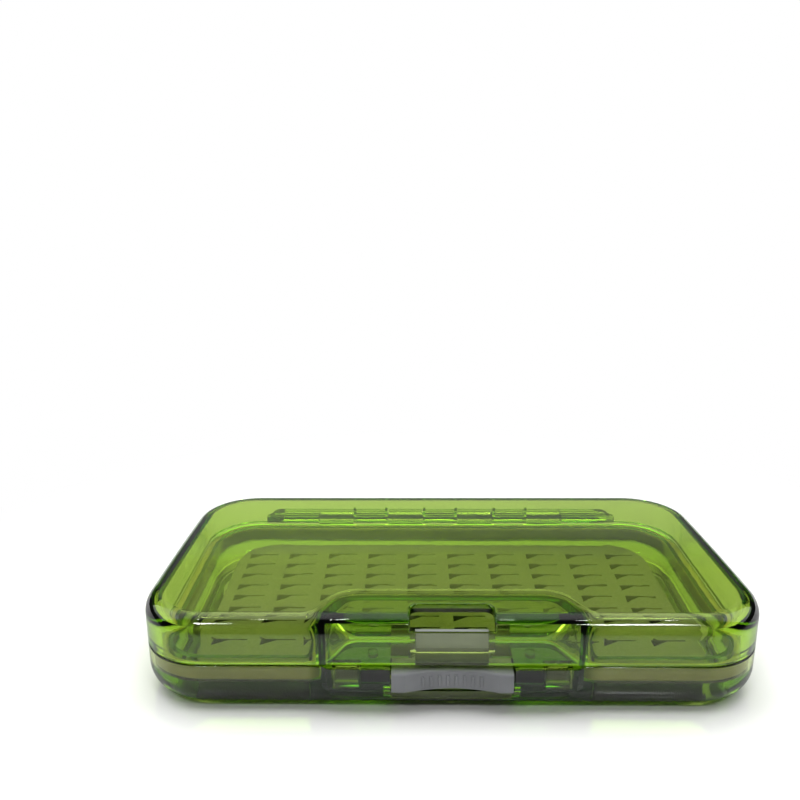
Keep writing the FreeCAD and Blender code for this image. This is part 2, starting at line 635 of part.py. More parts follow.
def make_foam_adhesive():
    film = body("foam_adhesive")
    film.setExpression("Placement.Base.z", "Sizes.base_floor")
    drawing = sketch_on(film, "film_outline", "XY_Plane")
    add_foam_outline(drawing)
    pad(film, drawing, "film", "Sizes.film_thickness")
    return film


def make_slit_foam():
    foam = body("slit_foam")
    foam.setExpression("Placement.Base.z", "Sizes.base_floor + Sizes.film_thickness")
    drawing = sketch_on(foam, "foam_outline", "XY_Plane")
    add_foam_outline(drawing)
    pad(foam, drawing, "foam_sheet", "Sizes.foam_thickness")
    # slits in rows along the length: a fine cut that opens into a small triangle at one end
    foam_length = "(Sizes.case_length - 2 * Sizes.foam_end_setback)"
    row_room = f"({foam_length} - Sizes.slit_length - 2 * Sizes.slit_end_margin)"
    rows = f"(floor({row_room} / Sizes.slit_row_pitch) + 1)"
    foam_depth = f"(Sizes.case_depth - Sizes.bay_depth - 2 * {FOAM_INSET})"
    column_room = f"({foam_depth} - Sizes.slit_rear_margin - Sizes.slit_front_margin)"
    columns = f"(floor({column_room} / Sizes.slit_column_pitch) + 1)"
    start_x = f"(-(({rows} - 1) * Sizes.slit_row_pitch + Sizes.slit_length) / 2)"
    start_y = f"({REAR} - {FOAM_INSET} - Sizes.slit_rear_margin)"
    upper = f"({start_y} + Sizes.slit_width / 2)"
    lower = f"({start_y} - Sizes.slit_width / 2)"
    drawing = sketch_on(foam, "slit_outline", "XY_Plane", "Sizes.foam_thickness")
    add_polygon(drawing, [
        (start_x, upper),
        (start_x, f"{start_y} - Sizes.slit_mouth_width"),
        (f"{start_x} + Sizes.slit_mouth_length", lower),
        (f"{start_x} + Sizes.slit_length", lower),
        (f"{start_x} + Sizes.slit_length", upper),
    ])
    slit = pocket(foam, drawing, "slit", "Sizes.slit_depth")
    grid = foam.newObject("PartDesign::LinearPattern", "slits")
    grid.Originals = [slit]
    axes = {f.Role: f for f in foam.Origin.OriginFeatures}
    grid.Direction = (axes["X_Axis"], [""])
    grid.Mode = "Spacing"
    grid.setExpression("Offset", "Sizes.slit_row_pitch")
    grid.setExpression("Occurrences", rows)
    grid.Direction2 = (axes["Y_Axis"], [""])
    grid.Reversed2 = True
    grid.Mode2 = "Spacing"
    grid.setExpression("Offset2", "Sizes.slit_column_pitch")
    grid.setExpression("Occurrences2", columns)
    foam.Tip = grid
    doc.recompute()
    return foam


def make_hinge_pin():
    rod = doc.addObject("Part::Cylinder", "hinge_pin")
    rod.setExpression("Radius", "Sizes.pin_radius")
    rod.setExpression("Height", f"2 * {PIN_HALF}")
    rod.Placement.Rotation = FreeCAD.Rotation(Vector(0, 1, 0), 90)
    rod.setExpression("Placement.Base.x", f"-{PIN_HALF}")
    rod.setExpression("Placement.Base.y", HINGE_Y)
    rod.setExpression("Placement.Base.z", HINGE_Z)
    doc.recompute()
    return rod


def make_latch_button():
    latch = body("latch_button")
    lower_front = f"({SILL_BACK} + Sizes.button_lip_gap)"
    lower_bottom = "(Sizes.well_floor + Sizes.button_floor_gap)"
    drawing = sketch_on(latch, "button_outline", "YZ_Plane")
    add_polygon(drawing, [
        (BUTTON_FRONT, BUTTON_BOTTOM),
        (lower_front, BUTTON_BOTTOM),
        (lower_front, lower_bottom),
        (BUTTON_BACK, lower_bottom),
        (BUTTON_BACK, BUTTON_TOP),
        (BUTTON_FRONT, BUTTON_TOP),
    ])
    pad(latch, drawing, "button_block", "Sizes.button_width", both=True)
    # finger scoop across the front face
    bow = "(((Sizes.scoop_width / 2) ^ 2 + Sizes.scoop_depth ^ 2) / (2 * Sizes.scoop_depth))"
    drawing = sketch_on(latch, "scoop_outline", "XY_Plane", BUTTON_BOTTOM)
    add_circle(drawing, "0", f"{BUTTON_FRONT} + Sizes.scoop_depth - {bow}", bow)
    pocket(latch, drawing, "scoop", f"{BUTTON_TOP} - {BUTTON_BOTTOM}", reverse=True)
    front = value(BUTTON_FRONT)
    scoop_reach = front + value("Sizes.scoop_depth") + 1e-3
    low = value(BUTTON_BOTTOM)
    high = value(BUTTON_TOP)
    fillet(latch, "button_edge", "Sizes.button_round",
           lambda edge: edge.BoundBox.YMax < scoop_reach and (lies_at(edge, low) or lies_at(edge, high)))
    # hook blade and its barb
    drawing = sketch_on(latch, "blade_outline", "YZ_Plane")
    blade_back = f"({BLADE_FRONT} + Sizes.blade_thickness)"
    add_rectangle(drawing, BLADE_FRONT, blade_back, BUTTON_BOTTOM, BLADE_TOP)
    pad(latch, drawing, "blade", "Sizes.blade_width", both=True)
    drawing = sketch_on(latch, "barb_outline", "YZ_Plane")
    nose_top = f"({BARB_UNDERSIDE} + Sizes.barb_nose)"
    root = f"({BLADE_FRONT} + Sizes.blade_thickness / 2)"
    add_polygon(drawing, [
        (root, BARB_UNDERSIDE),
        (BARB_FRONT, BARB_UNDERSIDE),
        (BARB_FRONT, nose_top),
        (BLADE_FRONT, f"{nose_top} + Sizes.barb_ramp"),
        (root, f"{nose_top} + Sizes.barb_ramp"),
    ])
    pad(latch, drawing, "barb", "2 * (Sizes.notch_half - Sizes.barb_side_gap)", both=True)
    # stiffening ribs at the blade's root
    first = "(-Sizes.rib_pitch * (Sizes.rib_count - 1) / 2)"
    drawing = sketch_on(latch, "rib_outline", "YZ_Plane", first)
    rib_root = f"({blade_back} - Sizes.blade_thickness / 2)"
    under = f"({BUTTON_TOP} - Sizes.rib_size)"
    add_polygon(drawing, [
        (rib_root, under),
        (f"{blade_back} + Sizes.rib_size", under),
        (f"{blade_back} + Sizes.rib_size", BUTTON_TOP),
        (blade_back, f"{BUTTON_TOP} + Sizes.rib_size"),
        (rib_root, f"{BUTTON_TOP} + Sizes.rib_size"),
    ])
    rib = pad(latch, drawing, "rib", "Sizes.rib_thickness", both=True)
    row_of(latch, "ribs", [rib], int(value("Sizes.rib_count")), "Sizes.rib_pitch")
    # pivot trunnions and spring seats
    drawing = sketch_on(latch, "trunnion_outline", "YZ_Plane")
    add_circle(drawing, PIVOT_Y, "Sizes.pivot_height", "Sizes.trunnion_radius")
    pad(latch, drawing, "trunnions", "Sizes.button_width + 2 * Sizes.trunnion_length", both=True)
    drawing = sketch_on(latch, "seat_outline", "XZ_Plane", f"-{BUTTON_BACK}")
    for sign in (-1, 1):
        add_circle(drawing, f"{sign} * Sizes.spring_place", "Sizes.spring_height",
                   "Sizes.spring_diameter / 2 + Sizes.spring_side_gap")
    pocket(latch, drawing, "seats", "Sizes.spring_seat_depth", reverse=True)
    return latch


def biarc(start, start_heading, end, end_heading):
    """Two arcs that leave start and reach end along the given headings."""
    chord = end - start
    spread = start_heading + end_heading
    square = 4 - spread.dot(spread)
    along = chord.dot(spread)
    reach = (-along + math.sqrt(along ** 2 + square * chord.dot(chord))) / square
    knee = start + start_heading * reach
    knee_end = end - end_heading * reach
    middle = (knee + knee_end) * 0.5
    arcs = []
    for a, corner, b in ((start, knee, middle), (middle, knee_end, end)):
        inward = (a + b) * 0.5 - corner
        half = (b - a).Length / 2
        leg = (a - corner).Length
        rise = half * (leg - half) / math.sqrt(leg ** 2 - half ** 2)
        top = (a + b) * 0.5 - inward.normalize() * rise
        arcs.append(Part.Arc(a, top, b).toShape())
    return arcs


def make_latch_spring(label, side):
    """A compression coil between the button's seat and the bay's back wall."""
    wire = value("Sizes.spring_wire")
    radius = (value("Sizes.spring_diameter") - wire) / 2
    turns = value("Sizes.spring_turns")
    gap = value("Sizes.spring_seat_gap")
    front = value(f"{BUTTON_BACK} - Sizes.spring_seat_depth") + gap + wire / 2
    back = value(BAY_BACK) - gap - wire / 2
    middle = Vector(side * value("Sizes.spring_place"), 0, value("Sizes.spring_height"))
    pitch = (back - front) / turns

    def point(turn):
        angle = 2 * math.pi * turn
        return middle + Vector(radius * math.cos(angle), front + pitch * turn, radius * math.sin(angle))

    def heading(turn):
        angle = 2 * math.pi * turn
        slope = Vector(-radius * math.sin(angle), pitch / (2 * math.pi), radius * math.cos(angle))
        return slope.normalize()

    quarters = round(4 * turns)
    steps = [turns * i / quarters for i in range(quarters + 1)]
    edges = []
    for a, b in zip(steps, steps[1:]):
        edges += biarc(point(a), heading(a), point(b), heading(b))
    path = Part.Wire(edges)
    section = Part.Wire([Part.Circle(point(0), heading(0), wire / 2).toShape()])
    coil = doc.addObject("Part::Feature", label)
    coil.Shape = path.makePipeShell([section], True, False)
    coil.Placement = FreeCAD.Placement()
    samples = [point(turns * i / 400) for i in range(401)]
    per_turn = 400 / turns
    clear = min((samples[i] - samples[j]).Length - wire
                for i in range(401) for j in range(i + round(per_turn / 2), 401))
    print(f"{label}: least gap to itself {clear:.2f} mm")
    return coil


sub_parts = [
    make_base_shell(),
    make_lid_shell(),
    make_seal_gasket(),
    make_foam_adhesive(),
    make_slit_foam(),
    make_hinge_pin(),
    make_latch_button(),
    make_latch_spring("latch_spring_left", -1),
    make_latch_spring("latch_spring_right", 1),
]
doc.recompute()

for item in doc.Objects:
    if "Invalid" in item.State or "Error" in item.State:
        raise RuntimeError(f"{item.Label} failed: {item.State}")
for item in sub_parts:
    if item.Shape.isNull() or not item.Shape.isValid():
        raise RuntimeError(f"{item.Label} has no valid shape")

os.makedirs("parts", exist_ok=True)
for item in sub_parts:
    item.Shape.exportStep(f"parts/{item.Label}.step")
    box = item.Shape.BoundBox
    print(f"{item.Label}: {len(item.Shape.Solids)} solid, {item.Shape.Volume:.1f} mm3,",
          f"{box.XLength:.2f} x {box.YLength:.2f} x {box.ZLength:.2f} mm")
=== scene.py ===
import math

import bmesh
import bpy
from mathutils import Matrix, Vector


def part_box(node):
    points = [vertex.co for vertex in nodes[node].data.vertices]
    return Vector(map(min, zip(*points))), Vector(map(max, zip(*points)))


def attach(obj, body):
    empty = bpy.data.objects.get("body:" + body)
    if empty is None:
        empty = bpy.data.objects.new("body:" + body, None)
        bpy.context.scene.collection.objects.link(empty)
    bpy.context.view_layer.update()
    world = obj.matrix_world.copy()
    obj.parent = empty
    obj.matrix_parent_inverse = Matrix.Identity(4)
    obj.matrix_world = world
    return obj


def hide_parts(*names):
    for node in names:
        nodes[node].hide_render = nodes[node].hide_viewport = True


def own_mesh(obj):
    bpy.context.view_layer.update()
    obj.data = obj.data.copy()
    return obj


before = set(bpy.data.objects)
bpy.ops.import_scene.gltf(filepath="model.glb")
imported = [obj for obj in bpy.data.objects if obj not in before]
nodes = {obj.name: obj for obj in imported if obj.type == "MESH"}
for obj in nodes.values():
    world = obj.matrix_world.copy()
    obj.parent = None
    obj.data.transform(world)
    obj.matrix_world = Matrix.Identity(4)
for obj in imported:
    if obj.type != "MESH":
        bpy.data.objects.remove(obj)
scene = bpy.context.scene
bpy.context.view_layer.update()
white = [1.0, 1.0, 1.0, 1.0]
print("frame loaded")


def mm(length):
    return length / 1000


def linear(code):
    # sRGB hex to the linear colour that the shaders take
    parts = [int(code[i:i + 2], 16) / 255 for i in (1, 3, 5)]
    return [p / 12.92 if p <= 0.04045 else ((p + 0.055) / 1.055) ** 2.4 for p in parts] + [1.0]


def addNode(tree, kind, inputs=None, **settings):
    node = tree.nodes.new(kind)
    for name, setting in settings.items():
        setattr(node, name, setting)
    for socket, source in (inputs or {}).items():
        if isinstance(source, bpy.types.NodeSocket):
            tree.links.new(source, node.inputs[socket])
        else:
            node.inputs[socket].default_value = source
    return node


def newMaterial(name):
    material = bpy.data.materials.new(name)
    material.use_nodes = True
    tree = material.node_tree
    tree.nodes.clear()
    place = addNode(tree, "ShaderNodeTexCoord").outputs["Object"]
    return material, tree, place, addNode(tree, "ShaderNodeOutputMaterial")


def addNoise(tree, place, size, detail):
    # grains of about the given size in millimetres
    grains = addNode(tree, "ShaderNodeTexNoise", {"Vector": place, "Scale": 1 / mm(size), "Detail": detail})
    return grains.outputs["Fac"]


def addBump(tree, height, strength, depth):
    bump = addNode(tree, "ShaderNodeBump", {"Height": height, "Strength": strength, "Distance": mm(depth)})
    return bump.outputs["Normal"]


def addTones(tree, factor, looks):
    # from the shade to the colour, on both sides of a noise's middle
    ramp = addNode(tree, "ShaderNodeValToRGB", {"Fac": factor})
    first, last = ramp.color_ramp.elements
    first.position, first.color = 0.5 - looks["spread"], linear(looks["shade"])
    last.position, last.color = 0.5 + looks["spread"], linear(looks["colour"])
    return ramp.outputs["Color"]


def addRange(tree, value, start, end, low=0.0, high=1.0, kind="LINEAR"):
    mapped = addNode(tree, "ShaderNodeMapRange", {
        "Value": value, "From Min": start, "From Max": end, "To Min": low, "To Max": high},
        interpolation_type=kind)
    return mapped.outputs["Result"]


def combine(tree, operation, first, *others):
    for other in others:
        first = addNode(tree, "ShaderNodeMath", {0: first, 1: other}, operation=operation).outputs[0]
    return first


def greenPolycarbonate():
    # clear lime moulding: pale where it is thin, deep green along its edges, with a faint moulded ripple
    looks = {"tint": "#DFF258", "density": 480.0, "roughness": 0.015, "ior": 1.585,
             "rippleSize": 9.0, "rippleStrength": 0.06, "rippleDepth": 0.3}
    material, tree, place, output = newMaterial("greenPolycarbonate")
    ripple = addNoise(tree, place, looks["rippleSize"], 2.0)
    shell = addNode(tree, "ShaderNodeBsdfPrincipled", {
        "Base Color": white, "Roughness": looks["roughness"], "IOR": looks["ior"], "Transmission Weight": 1.0,
        "Normal": addBump(tree, ripple, looks["rippleStrength"], looks["rippleDepth"])})
    depth = addNode(tree, "ShaderNodeVolumeAbsorption", {
        "Color": linear(looks["tint"]), "Density": looks["density"]})
    tree.links.new(shell.outputs["BSDF"], output.inputs["Surface"])
    tree.links.new(depth.outputs["Volume"], output.inputs["Volume"])
    return material


def tanSilicone():
    # matt rubber seal, a little cloudy, with fine dust on it
    looks = {"colour": "#CCC283", "shade": "#BAB071", "spread": 0.15, "roughness": 0.5, "cloudSize": 14.0,
             "dustSize": 0.35, "dustStrength": 0.15, "dustDepth": 0.05}
    material, tree, place, output = newMaterial("tanSilicone")
    cloud = addNoise(tree, place, looks["cloudSize"], 3.0)
    dust = addNoise(tree, place, looks["dustSize"], 2.0)
    rubber = addNode(tree, "ShaderNodeBsdfPrincipled", {
        "Base Color": addTones(tree, cloud, looks), "Roughness": looks["roughness"], "IOR": 1.41,
        "Normal": addBump(tree, dust, looks["dustStrength"], looks["dustDepth"])})
    tree.links.new(rubber.outputs["BSDF"], output.inputs["Surface"])
    return material


def greyFoam():
    # closed-cell foam: matt grey skin with fine cells, and painted shade that darkens its upright sides
    looks = {"colour": "#88897B", "shade": "#7A7B6D", "spread": 0.2, "cut": "#363630", "roughness": 0.85,
             "patchSize": 0.7, "cellSize": 0.35, "cellStrength": 0.35, "cellDepth": 0.12}
    material, tree, place, output = newMaterial("greyEvaFoam")
    patches = addNoise(tree, place, looks["patchSize"], 5.0)
    cells = addNode(tree, "ShaderNodeTexVoronoi", {"Vector": place, "Scale": 1 / mm(looks["cellSize"])})
    normal = addNode(tree, "ShaderNodeNewGeometry").outputs["Normal"]
    upward = addNode(tree, "ShaderNodeSeparateXYZ", {"Vector": normal}).outputs["Z"]
    # painted shade: faces turned sideways take the dark colour, standing in for the shadow on the foam's
    # sides
    colour = addNode(tree, "ShaderNodeMixRGB", {
        "Fac": addRange(tree, upward, 0.2, 0.6), "Color1": linear(looks["cut"]),
        "Color2": addTones(tree, patches, looks)})
    foam = addNode(tree, "ShaderNodeBsdfPrincipled", {
        "Base Color": colour.outputs["Color"], "Roughness": looks["roughness"], "IOR": 1.48,
        "Normal": addBump(tree, cells.outputs["Distance"], looks["cellStrength"], looks["cellDepth"])})
    tree.links.new(foam.outputs["BSDF"], output.inputs["Surface"])
    return material


def greyAbs():
    # moulded grey plastic with a fine spark-eroded grain
    looks = {"colour": "#7F8184", "shade": "#76787B", "spread": 0.2, "roughness": 0.38, "flowSize": 6.0,
             "grainSize": 0.12, "grainStrength": 0.2, "grainDepth": 0.03}
    material, tree, place, output = newMaterial("greyAbs")
    flow = addNoise(tree, place, looks["flowSize"], 2.0)
    grain = addNoise(tree, place, looks["grainSize"], 2.0)
    plastic = addNode(tree, "ShaderNodeBsdfPrincipled", {
        "Base Color": addTones(tree, flow, looks), "Roughness": looks["roughness"], "IOR": 1.53,
        "Normal": addBump(tree, grain, looks["grainStrength"], looks["grainDepth"])})
    tree.links.new(plastic.outputs["BSDF"], output.inputs["Surface"])
    return material


def drawnSteel():
    # stainless wire, with streaks drawn along its length
    looks = {"colour": "#B4B6B8", "shade": "#8E9093", "spread": 0.2, "smoothest": 0.2, "roughest": 0.38,
             "streakLength": 12.5, "streakWidth": 0.4}
    material, tree, place, output = newMaterial("drawnSteel")
    along, across = 1 / mm(looks["streakLength"]), 1 / mm(looks["streakWidth"])
    stretch = addNode(tree, "ShaderNodeMapping", {"Vector": place, "Scale": (along, across, across)})
    streaks = addNode(tree, "ShaderNodeTexNoise", {
        "Vector": stretch.outputs["Vector"], "Scale": 1.0, "Detail": 3.0}).outputs["Fac"]
    steel = addNode(tree, "ShaderNodeBsdfPrincipled", {
        "Base Color": addTones(tree, streaks, looks), "Metallic": 1.0,
        "Roughness": addRange(tree, streaks, 0.0, 1.0, looks["smoothest"], looks["roughest"])})
    tree.links.new(steel.outputs["BSDF"], output.inputs["Surface"])
    return material


def acrylicAdhesive():
    # cloudy grey film of glue under the foam
    looks = {"colour": "#5C5C56", "shade": "#4A4A45", "spread": 0.15, "roughness": 0.55, "cloudSize": 5.0}
    material, tree, place, output = newMaterial("acrylicAdhesive")
    cloud = addNoise(tree, place, looks["cloudSize"], 5.0)
    film = addNode(tree, "ShaderNodeBsdfPrincipled", {
        "Base Color": addTones(tree, cloud, looks), "Roughness": looks["roughness"], "IOR": 1.47})
    tree.links.new(film.outputs["BSDF"], output.inputs["Surface"])
    return material


clearGreen = greenPolycarbonate()
sealRubber = tanSilicone()
trayFoam = greyFoam()
latchPlastic = greyAbs()
wireSteel = drawnSteel()
glueFilm = acrylicAdhesive()
print("materials made")


def newPiece(name, mesh):
    piece = bpy.data.objects.new(name, mesh)
    scene.collection.objects.link(piece)
    return piece


def meshFrom(name, points, edges=(), faces=()):
    mesh = bpy.data.meshes.new(name)
    mesh.from_pydata(points, edges, faces)
    mesh.update()
    return mesh


def newTree(name, inputs):
    tree = bpy.data.node_groups.new(name, "GeometryNodeTree")
    tree.interface.new_socket("Geometry", in_out="INPUT", socket_type="NodeSocketGeometry")
    for label, kind in inputs.items():
        tree.interface.new_socket(label, in_out="INPUT", socket_type="NodeSocket" + kind)
    tree.interface.new_socket("Geometry", in_out="OUTPUT", socket_type="NodeSocketGeometry")
    return tree, addNode(tree, "NodeGroupInput").outputs, addNode(tree, "NodeGroupOutput")


def endTree(tree, geometry, output, material):
    made = addNode(tree, "GeometryNodeRealizeInstances", {"Geometry": geometry})
    painted = addNode(tree, "GeometryNodeSetMaterial", {
        "Geometry": made.outputs["Geometry"], "Material": material})
    tree.links.new(painted.outputs["Geometry"], output.inputs["Geometry"])


def runTree(piece, tree, settings, smoothAngle):
    modifier = piece.modifiers.new(tree.name, "NODES")
    modifier.node_group = tree
    for item in tree.interface.items_tree:
        if item.in_out == "INPUT" and item.name in settings:
            modifier[item.identifier] = settings[item.name]
    graph = bpy.context.evaluated_depsgraph_get()
    made = bpy.data.meshes.new_from_object(piece.evaluated_get(graph), depsgraph=graph)
    piece.modifiers.clear()
    piece.data = made
    made.shade_smooth()
    made.set_sharp_from_angle(angle=math.radians(smoothAngle))


def ringFaces(rings, around):
    # quads between stacked closed rings of points, and a cap at each end
    faces = []
    for ring in range(rings - 1):
        for step in range(around):
            a, b = ring * around + step, ring * around + (step + 1) % around
            faces.append((a, b, b + around, a + around))
    return faces + [tuple(reversed(range(around))), tuple(range(around * (rings - 1), around * rings))]


def beltOutline(circles, steps=12):
    # a closed line round the circles; a negative radius is a corner that bends inwards
    leaving = []
    for index, (x, y, radius) in enumerate(circles):
        nextX, nextY, nextRadius = circles[(index + 1) % len(circles)]
        span = Vector((nextX - x, nextY - y))
        leaving.append(math.atan2(span.y, span.x) - math.acos((radius - nextRadius) / span.length))
    points = []
    for index, (x, y, radius) in enumerate(circles):
        turn = (leaving[index] - leaving[index - 1]) % (2 * math.pi)
        if radius < 0:
            turn -= 2 * math.pi
        for step in range(steps + 1):
            angle = leaving[index - 1] + turn * step / steps
            points.append((mm(x + radius * math.cos(angle)), mm(y + radius * math.sin(angle))))
    return points


caseLine = {"cornerX": 58.0, "cornerY": 22.0, "corner": 17.0, "mouthX": 34.7, "mouthY": -31.0, "mouth": 8.0,
            "bayX": 22.0, "bayY": -32.5, "bay": 4.0}


def caseCircles(inset, endInset=None, corner=None):
    # the case's plan outline, moved inwards; a narrower inner outline has its own ends and corners
    c = caseLine
    radius = c["corner"] - inset if corner is None else corner
    end = c["cornerX"] + c["corner"] - (inset if endInset is None else endInset) - radius
    side = c["cornerY"] + c["corner"] - inset - radius
    mouth, bay = c["mouth"] - inset, -(c["bay"] + inset)
    return [(-end, -side, radius), (-c["mouthX"], c["mouthY"], mouth), (-c["bayX"], c["bayY"], bay),
            (c["bayX"], c["bayY"], bay), (c["mouthX"], c["mouthY"], mouth), (end, -side, radius),
            (end, side, radius), (-end, side, radius)]


def makeSlitBlade(foam, top):
    # the shape that cuts one slit: a wedge-shaped mouth with a thin tail, flared at the foam's skin
    half, flare = foam["slitWidth"] / 2, foam["flare"]
    levels = [(0.0, -foam["slitDepth"]), (0.0, -foam["lipDepth"]), (flare, 0.0), (flare, foam["overcut"])]
    points = []
    for grow, height in levels:
        outline = [(-grow, half + grow), (-grow, -foam["mouthWidth"] - 2 * grow),
                   (foam["mouthLength"] + grow, -half - grow), (foam["slitLength"] + grow, -half - grow),
                   (foam["slitLength"] + grow, half + grow)]
        points += [(mm(x), mm(y), top + mm(height)) for x, y in outline]
    faces = ringFaces(len(levels), len(points) // len(levels))
    return newPiece("slitBlade", meshFrom("slitBlade", points, faces=faces))


def makeFoam():
    foam = {"inset": 6.4, "endInset": 11.5, "corner": 10.5, "edgeRound": 0.5, "rows": 10, "columns": 9,
            "rowPitch": 12.4, "columnPitch": 5.68, "startX": -60.05, "startY": 26.4, "slitLength": 8.5,
            "slitWidth": 0.3, "mouthLength": 3.8, "mouthWidth": 2.4, "slitDepth": 4.0, "lipDepth": 0.35,
            "flare": 0.12, "overcut": 1.0, "smoothAngle": 40}
    low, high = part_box("slit_foam")
    # how far in and how far below the top each step of the rounded edge lies, as shares of its radius
    edgeSteps = [(0.0, 1.0), (0.13, 0.5), (0.5, 0.13), (1.0, 0.0)]
    edge = foam["edgeRound"]
    rings = [(0.0, low.z)]
    rings += [(edge * inward, high.z - mm(edge * below)) for inward, below in edgeSteps]
    points = []
    for inset, height in rings:
        circles = caseCircles(foam["inset"] + inset, foam["endInset"] + inset, foam["corner"] - inset)
        points += [(x, y, height) for x, y in beltOutline(circles)]
    faces = ringFaces(len(rings), len(points) // len(rings))
    sheet = newPiece("slitFoam", meshFrom("slitFoam", points, faces=faces))
    blade = makeSlitBlade(foam, high.z)

    tree, given, output = newTree("slitGrid", {
        "Blade": "Object", "Rows": "Int", "Columns": "Int", "Length": "Float", "Depth": "Float",
        "Middle": "Vector"})
    grid = addNode(tree, "GeometryNodeMeshGrid", {
        "Size X": given["Length"], "Size Y": given["Depth"],
        "Vertices X": given["Rows"], "Vertices Y": given["Columns"]})
    placed = addNode(tree, "GeometryNodeTransform", {
        "Geometry": grid.outputs["Mesh"], "Translation": given["Middle"]})
    shape = addNode(tree, "GeometryNodeObjectInfo", {"Object": given["Blade"]})
    copies = addNode(tree, "GeometryNodeInstanceOnPoints", {
        "Points": placed.outputs["Geometry"], "Instance": shape.outputs["Geometry"]})
    blades = addNode(tree, "GeometryNodeRealizeInstances", {"Geometry": copies.outputs["Instances"]})
    slit = addNode(tree, "GeometryNodeMeshBoolean", {
        "Mesh 1": given["Geometry"], "Mesh 2": blades.outputs["Geometry"]},
        operation="DIFFERENCE", solver="EXACT")
    endTree(tree, slit.outputs["Mesh"], output, trayFoam)
    length, depth = foam["rowPitch"] * (foam["rows"] - 1), foam["columnPitch"] * (foam["columns"] - 1)
    middle = (mm(foam["startX"] + length / 2), mm(foam["startY"] - depth / 2), 0.0)
    runTree(sheet, tree, {"Blade": blade, "Rows": foam["rows"], "Columns": foam["columns"],
                          "Length": mm(length), "Depth": mm(depth), "Middle": middle}, foam["smoothAngle"])
    bpy.data.objects.remove(blade)
    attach(sheet, "base")
    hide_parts("slit_foam")


def makeSeal():
    seal = {"outer": 1.1, "inner": 4.5, "round": 1.15, "roundSteps": 5, "cornerSteps": 16, "smoothAngle": 50}
    low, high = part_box("seal_gasket")
    middle = (seal["outer"] + seal["inner"]) / 2
    outline = beltOutline(caseCircles(middle), seal["cornerSteps"])
    line = [(x, y, (low.z + high.z) / 2) for x, y in outline]
    ring = [(i, (i + 1) % len(line)) for i in range(len(line))]
    piece = newPiece("siliconeSeal", meshFrom("siliconeSeal", line, edges=ring))
    tree, given, output = newTree("sealSweep", {"Width": "Float", "Height": "Float", "Round": "Float"})
    path = addNode(tree, "GeometryNodeMeshToCurve", {"Mesh": given["Geometry"]})
    upright = addNode(tree, "GeometryNodeSetCurveNormal", {"Curve": path.outputs["Curve"]}, mode="Z_UP")
    section = addNode(tree, "GeometryNodeCurvePrimitiveQuadrilateral", {
        "Width": given["Width"], "Height": given["Height"]})
    soft = addNode(tree, "GeometryNodeFilletCurve", {
        "Curve": section.outputs["Curve"], "Radius": given["Round"], "Count": seal["roundSteps"]},
        mode="POLY")
    swept = addNode(tree, "GeometryNodeCurveToMesh", {
        "Curve": upright.outputs["Curve"], "Profile Curve": soft.outputs["Curve"]})
    endTree(tree, swept.outputs["Mesh"], output, sealRubber)
    runTree(piece, tree, {"Width": mm(seal["inner"] - seal["outer"]), "Height": high.z - low.z,
                          "Round": mm(seal["round"])}, seal["smoothAngle"])
    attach(piece, "base")
    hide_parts("seal_gasket")


def makeSpring(name, node):
    spring = {"wire": 0.5, "diameter": 4.2, "turns": 6.5, "closed": 1.0, "closedPitch": 1.04, "perTurn": 28,
              "wireSides": 12, "keep": 0.85, "smoothAngle": 50}
    low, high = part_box(node)
    middle = (low + high) / 2
    radius, half = mm((spring["diameter"] - spring["wire"]) / 2), mm(spring["wire"] / 2)
    count = round(spring["turns"] * spring["perTurn"])
    closed = spring["closed"]
    openTurns = spring["turns"] - 2 * closed
    dead = mm(spring["wire"]) * spring["closedPitch"] * closed
    span = high.y - low.y - 2 * half
    line = []
    for step in range(count + 1):
        turn = spring["turns"] * step / count
        # a closed turn, the open ones, and the closed turn at the other end
        rise = min(turn, closed) / closed * dead
        rise += max(0.0, min(turn - closed, openTurns)) / openTurns * (span - 2 * dead)
        rise += max(0.0, turn - closed - openTurns) / closed * dead
        angle = 2 * math.pi * turn
        line.append((middle.x + radius * math.cos(angle), low.y + half + rise,
                     middle.z + radius * math.sin(angle)))
    piece = newPiece(name, meshFrom(name, line, edges=[(i, i + 1) for i in range(count)]))
    tree, given, output = newTree(name + "Coil", {"Wire radius": "Float"})
    path = addNode(tree, "GeometryNodeMeshToCurve", {"Mesh": given["Geometry"]})
    section = addNode(tree, "GeometryNodeCurvePrimitiveCircle", {
        "Radius": given["Wire radius"], "Resolution": spring["wireSides"]})
    swept = addNode(tree, "GeometryNodeCurveToMesh", {
        "Curve": path.outputs["Curve"], "Profile Curve": section.outputs["Curve"], "Fill Caps": True})
    endTree(tree, swept.outputs["Mesh"], output, wireSteel)
    runTree(piece, tree, {"Wire radius": half}, spring["smoothAngle"])
    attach(piece, "base")
    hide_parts(node)
    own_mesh(piece)


